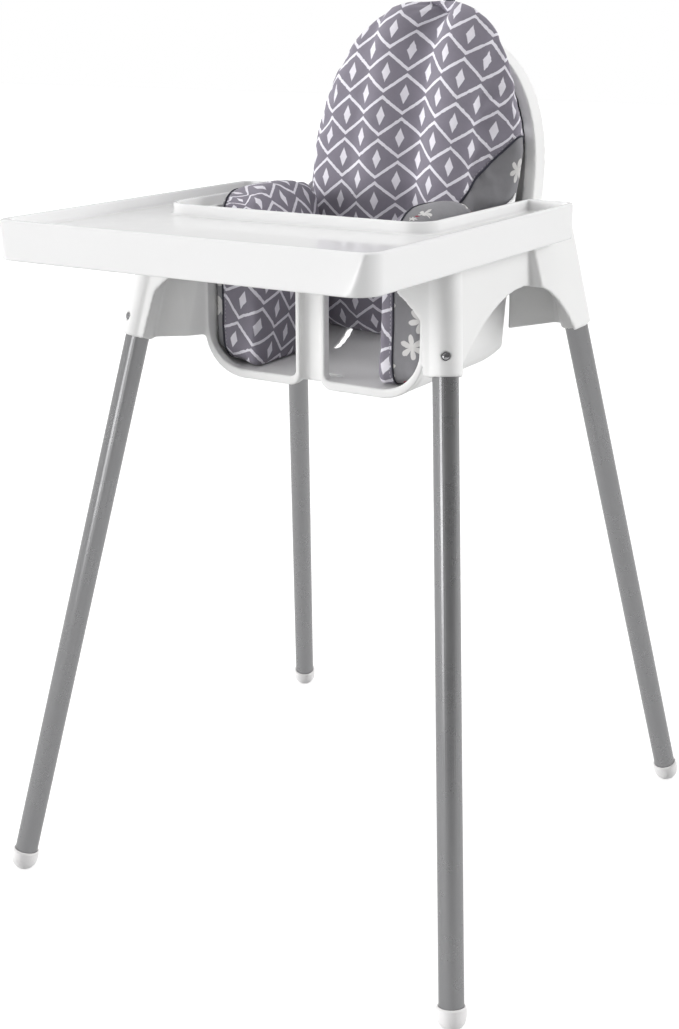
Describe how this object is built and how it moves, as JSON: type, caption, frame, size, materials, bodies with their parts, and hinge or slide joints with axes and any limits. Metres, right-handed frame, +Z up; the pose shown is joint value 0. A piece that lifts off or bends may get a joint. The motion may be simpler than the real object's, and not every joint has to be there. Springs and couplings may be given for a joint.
{
  "type": "baby high chair",
  "caption": "Moulded high chair seat on splayed plug-in tube legs, with a clip-on tray and a padded support cushion.",
  "frame": {"origin": "on the floor under the middle of the chair", "axes": "+Z up, -Y the way the child faces and the tray points, +X the child's left side"},
  "size_m": [0.5564, 0.63, 0.902],
  "materials": {
    "seat_plastic": "satin white",
    "tray_plastic": "glossy white",
    "leg_paint": "silver-grey paint, satin",
    "foot_plastic": "matt, off-white",
    "button_steel": "bare steel",
    "spring_steel": "bare spring steel",
    "cushion_cloth": "grey cotton with an off-white zigzag pattern"
  },
  "bodies": {
    "chair": {"seat_shell": "seat_plastic", "cushion_back": "cushion_cloth", "cushion_pocket": "cushion_cloth", "cushion_wing_left": "cushion_cloth", "cushion_wing_right": "cushion_cloth", "leg_front_left": "leg_paint", "leg_front_right": "leg_paint", "leg_rear_left": "leg_paint", "leg_rear_right": "leg_paint", "foot_front_left": "foot_plastic", "foot_front_right": "foot_plastic", "foot_rear_left": "foot_plastic", "foot_rear_right": "foot_plastic", "lock_spring_front_left": "spring_steel", "lock_spring_front_right": "spring_steel", "lock_spring_rear_left": "spring_steel", "lock_spring_rear_right": "spring_steel"},
    "tray": {"tray": "tray_plastic"},
    "button_front_left": {"lock_button_front_left": "button_steel"},
    "button_front_right": {"lock_button_front_right": "button_steel"},
    "button_rear_left": {"lock_button_rear_left": "button_steel"},
    "button_rear_right": {"lock_button_rear_right": "button_steel"}
  },
  "joints": [
    {"name": "tray_lift", "type": "slide", "parent": "chair", "child": "tray", "axis": [0, 0, 1], "range_m": [0, 0.1]},
    {"name": "press_front_left", "type": "slide", "parent": "chair", "child": "button_front_left", "axis": [-0.4779, 0.8391, -0.2598], "range_m": [0, 0.0048], "stiffness_N_per_m": 1500, "deforming": ["lock_spring_front_left"]},
    {"name": "press_front_right", "type": "slide", "parent": "chair", "child": "button_front_right", "axis": [0.4779, 0.8391, -0.2598], "range_m": [0, 0.0048], "stiffness_N_per_m": 1500, "deforming": ["lock_spring_front_right"]},
    {"name": "press_rear_left", "type": "slide", "parent": "chair", "child": "button_rear_left", "axis": [-0.4779, -0.8308, -0.2854], "range_m": [0, 0.0048], "stiffness_N_per_m": 1500, "deforming": ["lock_spring_rear_left"]},
    {"name": "press_rear_right", "type": "slide", "parent": "chair", "child": "button_rear_right", "axis": [0.4779, -0.8308, -0.2854], "range_m": [0, 0.0048], "stiffness_N_per_m": 1500, "deforming": ["lock_spring_rear_right"]}
  ]
}
